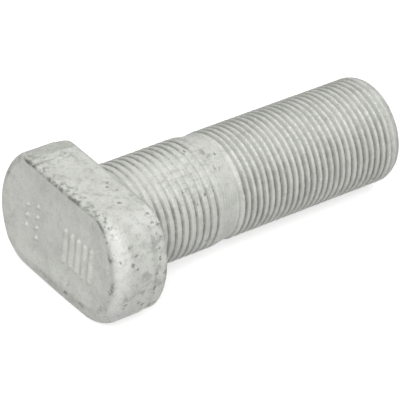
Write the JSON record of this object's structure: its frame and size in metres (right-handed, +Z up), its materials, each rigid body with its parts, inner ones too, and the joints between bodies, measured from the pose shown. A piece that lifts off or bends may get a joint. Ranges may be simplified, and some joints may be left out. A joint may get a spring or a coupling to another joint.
{
  "type": "wheel bolt",
  "caption": "Press-in wheel bolt with an oblong two-sided head, a ribbed press-fit shank and a fine thread, coated grey, lying on its side.",
  "frame": {"origin": "on the ground, under the middle of the bolt's box as it lies", "axes": "+X from the head towards the thread's tip, along the bolt as it lies (its axis dips 1.17 degrees below +X, because it rests on the head's back edge and the thread's end), +Y along the head's long way, +Z up, across the head's two long sides"},
  "size_m": [0.0772, 0.0384, 0.0248],
  "materials": {
    "coated_steel": "matt light grey zinc-flake coating over forged steel"
  },
  "bodies": {
    "root": {"wheel_bolt": "coated_steel"}
  },
  "joints": []
}
